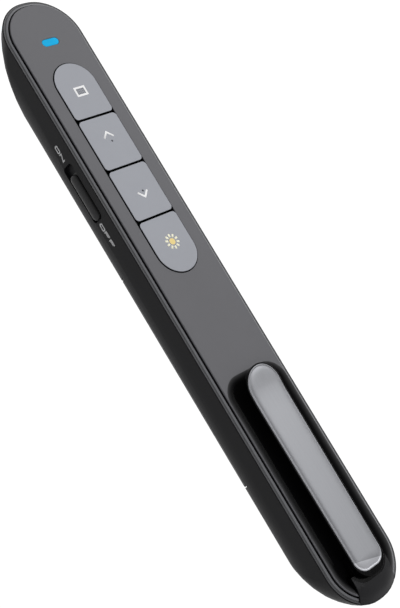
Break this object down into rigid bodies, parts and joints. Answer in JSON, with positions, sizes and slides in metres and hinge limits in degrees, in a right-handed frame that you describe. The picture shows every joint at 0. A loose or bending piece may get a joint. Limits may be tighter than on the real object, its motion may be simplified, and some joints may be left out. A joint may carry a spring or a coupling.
{
  "type": "wireless presentation clicker",
  "caption": "Pen-shaped presentation clicker with a row of keys, side slide switch, nose laser, pocket clip, battery door and a stored plug-in receiver.",
  "frame": {"origin": "on the underside's flat strip, midway along the length and on the centre plane", "axes": "+Y toward the nose with the laser, +Z toward the keys, +X to the right seen from above with the nose ahead"},
  "size_m": [0.0201, 0.1426, 0.0165],
  "materials": {
    "case_black": "fine satin",
    "cover_grey": "satin",
    "trim_grey": "satin",
    "gloss_black": "gloss",
    "clip_silver": "satin silver",
    "steel": "plain",
    "key_grey": "fine satin",
    "knob_grey": "satin",
    "board_green": "solder mask",
    "led_white": "clear",
    "led_blue": "clear",
    "brass": "turned",
    "lens_glass": "clear",
    "window_red": "tinted",
    "chip_black": "moulded",
    "chip_tan": "ceramic",
    "jacket_blue": "printed sleeve",
    "gold": "plated",
    "tongue_white": "moulded"
  },
  "bodies": {
    "body": {"bottom_case": "case_black", "top_cover": "cover_grey", "trim_ring": "trim_grey", "tail_block": "case_black", "clip_pin": "steel", "clip_spring": "steel", "main_board": "board_green", "tact_switches": "steel", "slide_switch": "steel", "led_chip": "led_white", "led_lens": "led_blue", "laser_barrel": "brass", "laser_diode": "steel", "laser_lens": "lens_glass", "laser_window": "window_red", "radio_chip": "chip_black", "crystal": "steel", "board_parts": "chip_tan", "board_screws": "steel", "battery_cell": "steel", "battery_jacket": "jacket_blue", "positive_contact": "gold", "negative_spring": "steel", "negative_contact": "gold", "case_screws": "steel", "tail_screws": "steel"},
    "door": {"battery_door": "case_black"},
    "clip": {"clip_arm": "gloss_black", "clip_plate": "clip_silver"},
    "screen_key": {"key_screen": "key_grey"},
    "page_up_key": {"key_page_up": "key_grey"},
    "page_down_key": {"key_page_down": "key_grey"},
    "laser_key": {"key_laser": "key_grey"},
    "knob": {"switch_knob": "knob_grey"},
    "receiver": {"receiver_cap": "case_black", "receiver_shell": "steel", "receiver_tongue": "tongue_white"}
  },
  "joints": [
    {"name": "screen_key_press", "type": "slide", "parent": "body", "child": "screen_key", "axis": [0, 0, -1], "range_m": [0, 0.00035], "stiffness_N_per_m": 1200},
    {"name": "page_up_key_press", "type": "slide", "parent": "body", "child": "page_up_key", "axis": [0, 0, -1], "range_m": [0, 0.00035], "stiffness_N_per_m": 1200},
    {"name": "page_down_key_press", "type": "slide", "parent": "body", "child": "page_down_key", "axis": [0, 0, -1], "range_m": [0, 0.00035], "stiffness_N_per_m": 1200},
    {"name": "laser_key_press", "type": "slide", "parent": "body", "child": "laser_key", "axis": [0, 0, -1], "range_m": [0, 0.00035], "stiffness_N_per_m": 1200},
    {"name": "knob_slide", "type": "slide", "parent": "body", "child": "knob", "axis": [0, 1, 0], "range_m": [0, 0.002]},
    {"name": "door_swing", "type": "hinge", "parent": "body", "child": "door", "pos_m": [0, 0.00983, 0], "axis": [1, 0, 0], "range_deg": [0, 40]},
    {"name": "clip_open", "type": "hinge", "parent": "body", "child": "clip", "pos_m": [0, -0.06362, 0.0129], "axis": [1, 0, 0], "range_deg": [0, 6], "stiffness_Nm_per_rad": 0.8},
    {"name": "receiver_out", "type": "slide", "parent": "body", "child": "receiver", "axis": [0, 0, -1], "range_m": [0, 0.009]}
  ]
}
